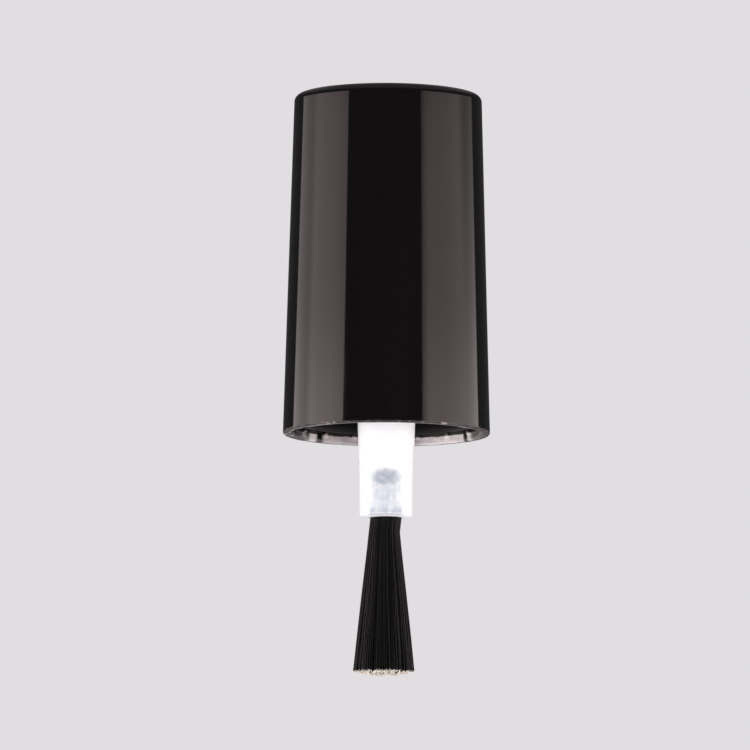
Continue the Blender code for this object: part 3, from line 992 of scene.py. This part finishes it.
def make_softbox(name, bearing, distance, width, height, level, raised=0.0, tint=FILL_TINT,
                 in_gloss=False):
    """A rectangular diffuser that faces the object, whose radiance is level."""
    data = bpy.data.lights.new(name, "AREA")
    data.shape = "RECTANGLE"
    data.size, data.size_y = width, height
    data.color = tint
    data.energy = level * math.pi * width * height
    light = bpy.data.objects.new(name, data)
    bpy.context.scene.collection.objects.link(light)
    turn = math.radians(bearing)
    offset = Vector((math.sin(turn) * distance, -math.cos(turn) * distance, raised))
    light.location = offset
    light.rotation_mode = "QUATERNION"
    light.rotation_quaternion = (-offset).to_track_quat("-Z", "Y")
    light.visible_glossy = in_gloss
    return data


def graduate(data, camera_on_left, grade):
    """Grades a side softbox, as its diffuser does: dimmer at its near edge, above and far away."""
    near_edge, near_width, far_start, far_end, far_dims = grade
    box = empty_nodes(data)
    place = box.node("NewGeometry").outputs["Parametric"]
    place = box.node("SeparateXYZ", {0: place})
    across = place.outputs["X"]
    if camera_on_left:
        across = box.maths("SUBTRACT", 1.0, across)
    aside = box.maths("MULTIPLY", box.maths("SUBTRACT", across, 0.5), data.size)
    height = box.maths("MULTIPLY", box.maths("SUBTRACT", place.outputs["Y"], 0.5), data.size_y)
    height = box.maths("ADD", height, box.maths("MULTIPLY", aside, SOFTBOX_SLOPE))
    squares = box.maths("ADD", box.maths("POWER", aside, 2.0), SOFTBOX_DISTANCE ** 2)
    further = box.maths("SUBTRACT", box.maths("SQRT", squares), SOFTBOX_DISTANCE)
    rise = math.tan(2 * math.atan(CAP_TAPER) - CAMERA_ELEVATION)
    height = box.maths("SUBTRACT", height, box.maths("MULTIPLY", further, rise))

    near = box.remap(across, 0.0, near_width, near_edge, 1.0)
    far = box.remap(across, far_start, far_end)
    far_dim = box.remap(height, FAR_DIM_FROM, FAR_DIM_TO, *far_dims, soft=False)
    kept = box.maths("SUBTRACT", 1.0, box.maths("MULTIPLY", far, far_dim))
    level = box.maths("MULTIPLY", near, kept)
    start, before = SOFTBOX_FULL_BELOW, 1.0
    for end, after in SOFTBOX_STEPS:
        step = box.remap(height, start, end, 1.0, after / before, soft=False)
        level = box.maths("MULTIPLY", level, step)
        start, before = end, after
    glow = box.node("Emission", {"Strength": level})
    box.node("OutputLight", {"Surface": glow.outputs[0]})


def make_lights():
    left = make_softbox("softbox_left", LEFT_BEARING, SOFTBOX_DISTANCE, LEFT_WIDTH,
                        SOFTBOX_HEIGHT, LEFT_LEVEL, tint=SOFTBOX_TINT, in_gloss=True)
    graduate(left, True, LEFT_GRADE)
    right = make_softbox("softbox_right", RIGHT_BEARING, SOFTBOX_DISTANCE, RIGHT_WIDTH,
                         SOFTBOX_HEIGHT, RIGHT_LEVEL, tint=SOFTBOX_TINT, in_gloss=True)
    graduate(right, False, RIGHT_GRADE)
    make_softbox("front_fill", 0.0, FILL_DISTANCE, FILL_SIZE, FILL_SIZE, FILL_LEVEL,
                 raised=FILL_RAISED)


def make_floor():
    half = FLOOR_SIZE / 2
    corners = [(-half, -half), (half, -half), (half, half), (-half, half)]
    mesh = bpy.data.meshes.new("floor")
    mesh.from_pydata([(x, y, FLOOR_HEIGHT) for x, y in corners], [], [(0, 1, 2, 3)])
    floor = bpy.data.objects.new("floor", mesh)
    bpy.context.scene.collection.objects.link(floor)
    look = Finish("pale_floor", {"Roughness": 0.9, "Specular IOR Level": 0.2})
    tone = [c * FLOOR_SHADE for c in FLOOR_COLOUR]
    look.apply(floor, base_color=look.mix(look.noise(FLOOR_CLOUD), FLOOR_COLOUR, tone))


# ---------------------------------------------------------------- the object

def place(piece, body, slot, *nodes):
    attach(piece, body)
    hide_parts(*nodes)


def main():
    bpy.context.scene.view_settings.view_transform = "Standard"
    make_camera()
    make_room()
    make_lights()
    make_floor()

    shell = make_cap_shell()
    finish_cap_shell(shell)
    place(shell, "cap", "cap_shell", "outer_cap")

    liner = make_cap_liner()
    finish_cap_liner(liner)
    place(liner, "cap", "cap_liner", "inner_cap")

    stem = make_stem_body()
    finish_stem(stem)
    place(stem, "cap", "stem", "brush_stem")

    anchor = make_anchor_plate()
    finish_anchor(anchor)
    place(anchor, "cap", "anchor", "anchor_staple")

    bristles = make_bristles()
    finish_bristles(bristles)
    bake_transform(bristles)
    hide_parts("tuft_root", "bristle_tuft")


main()
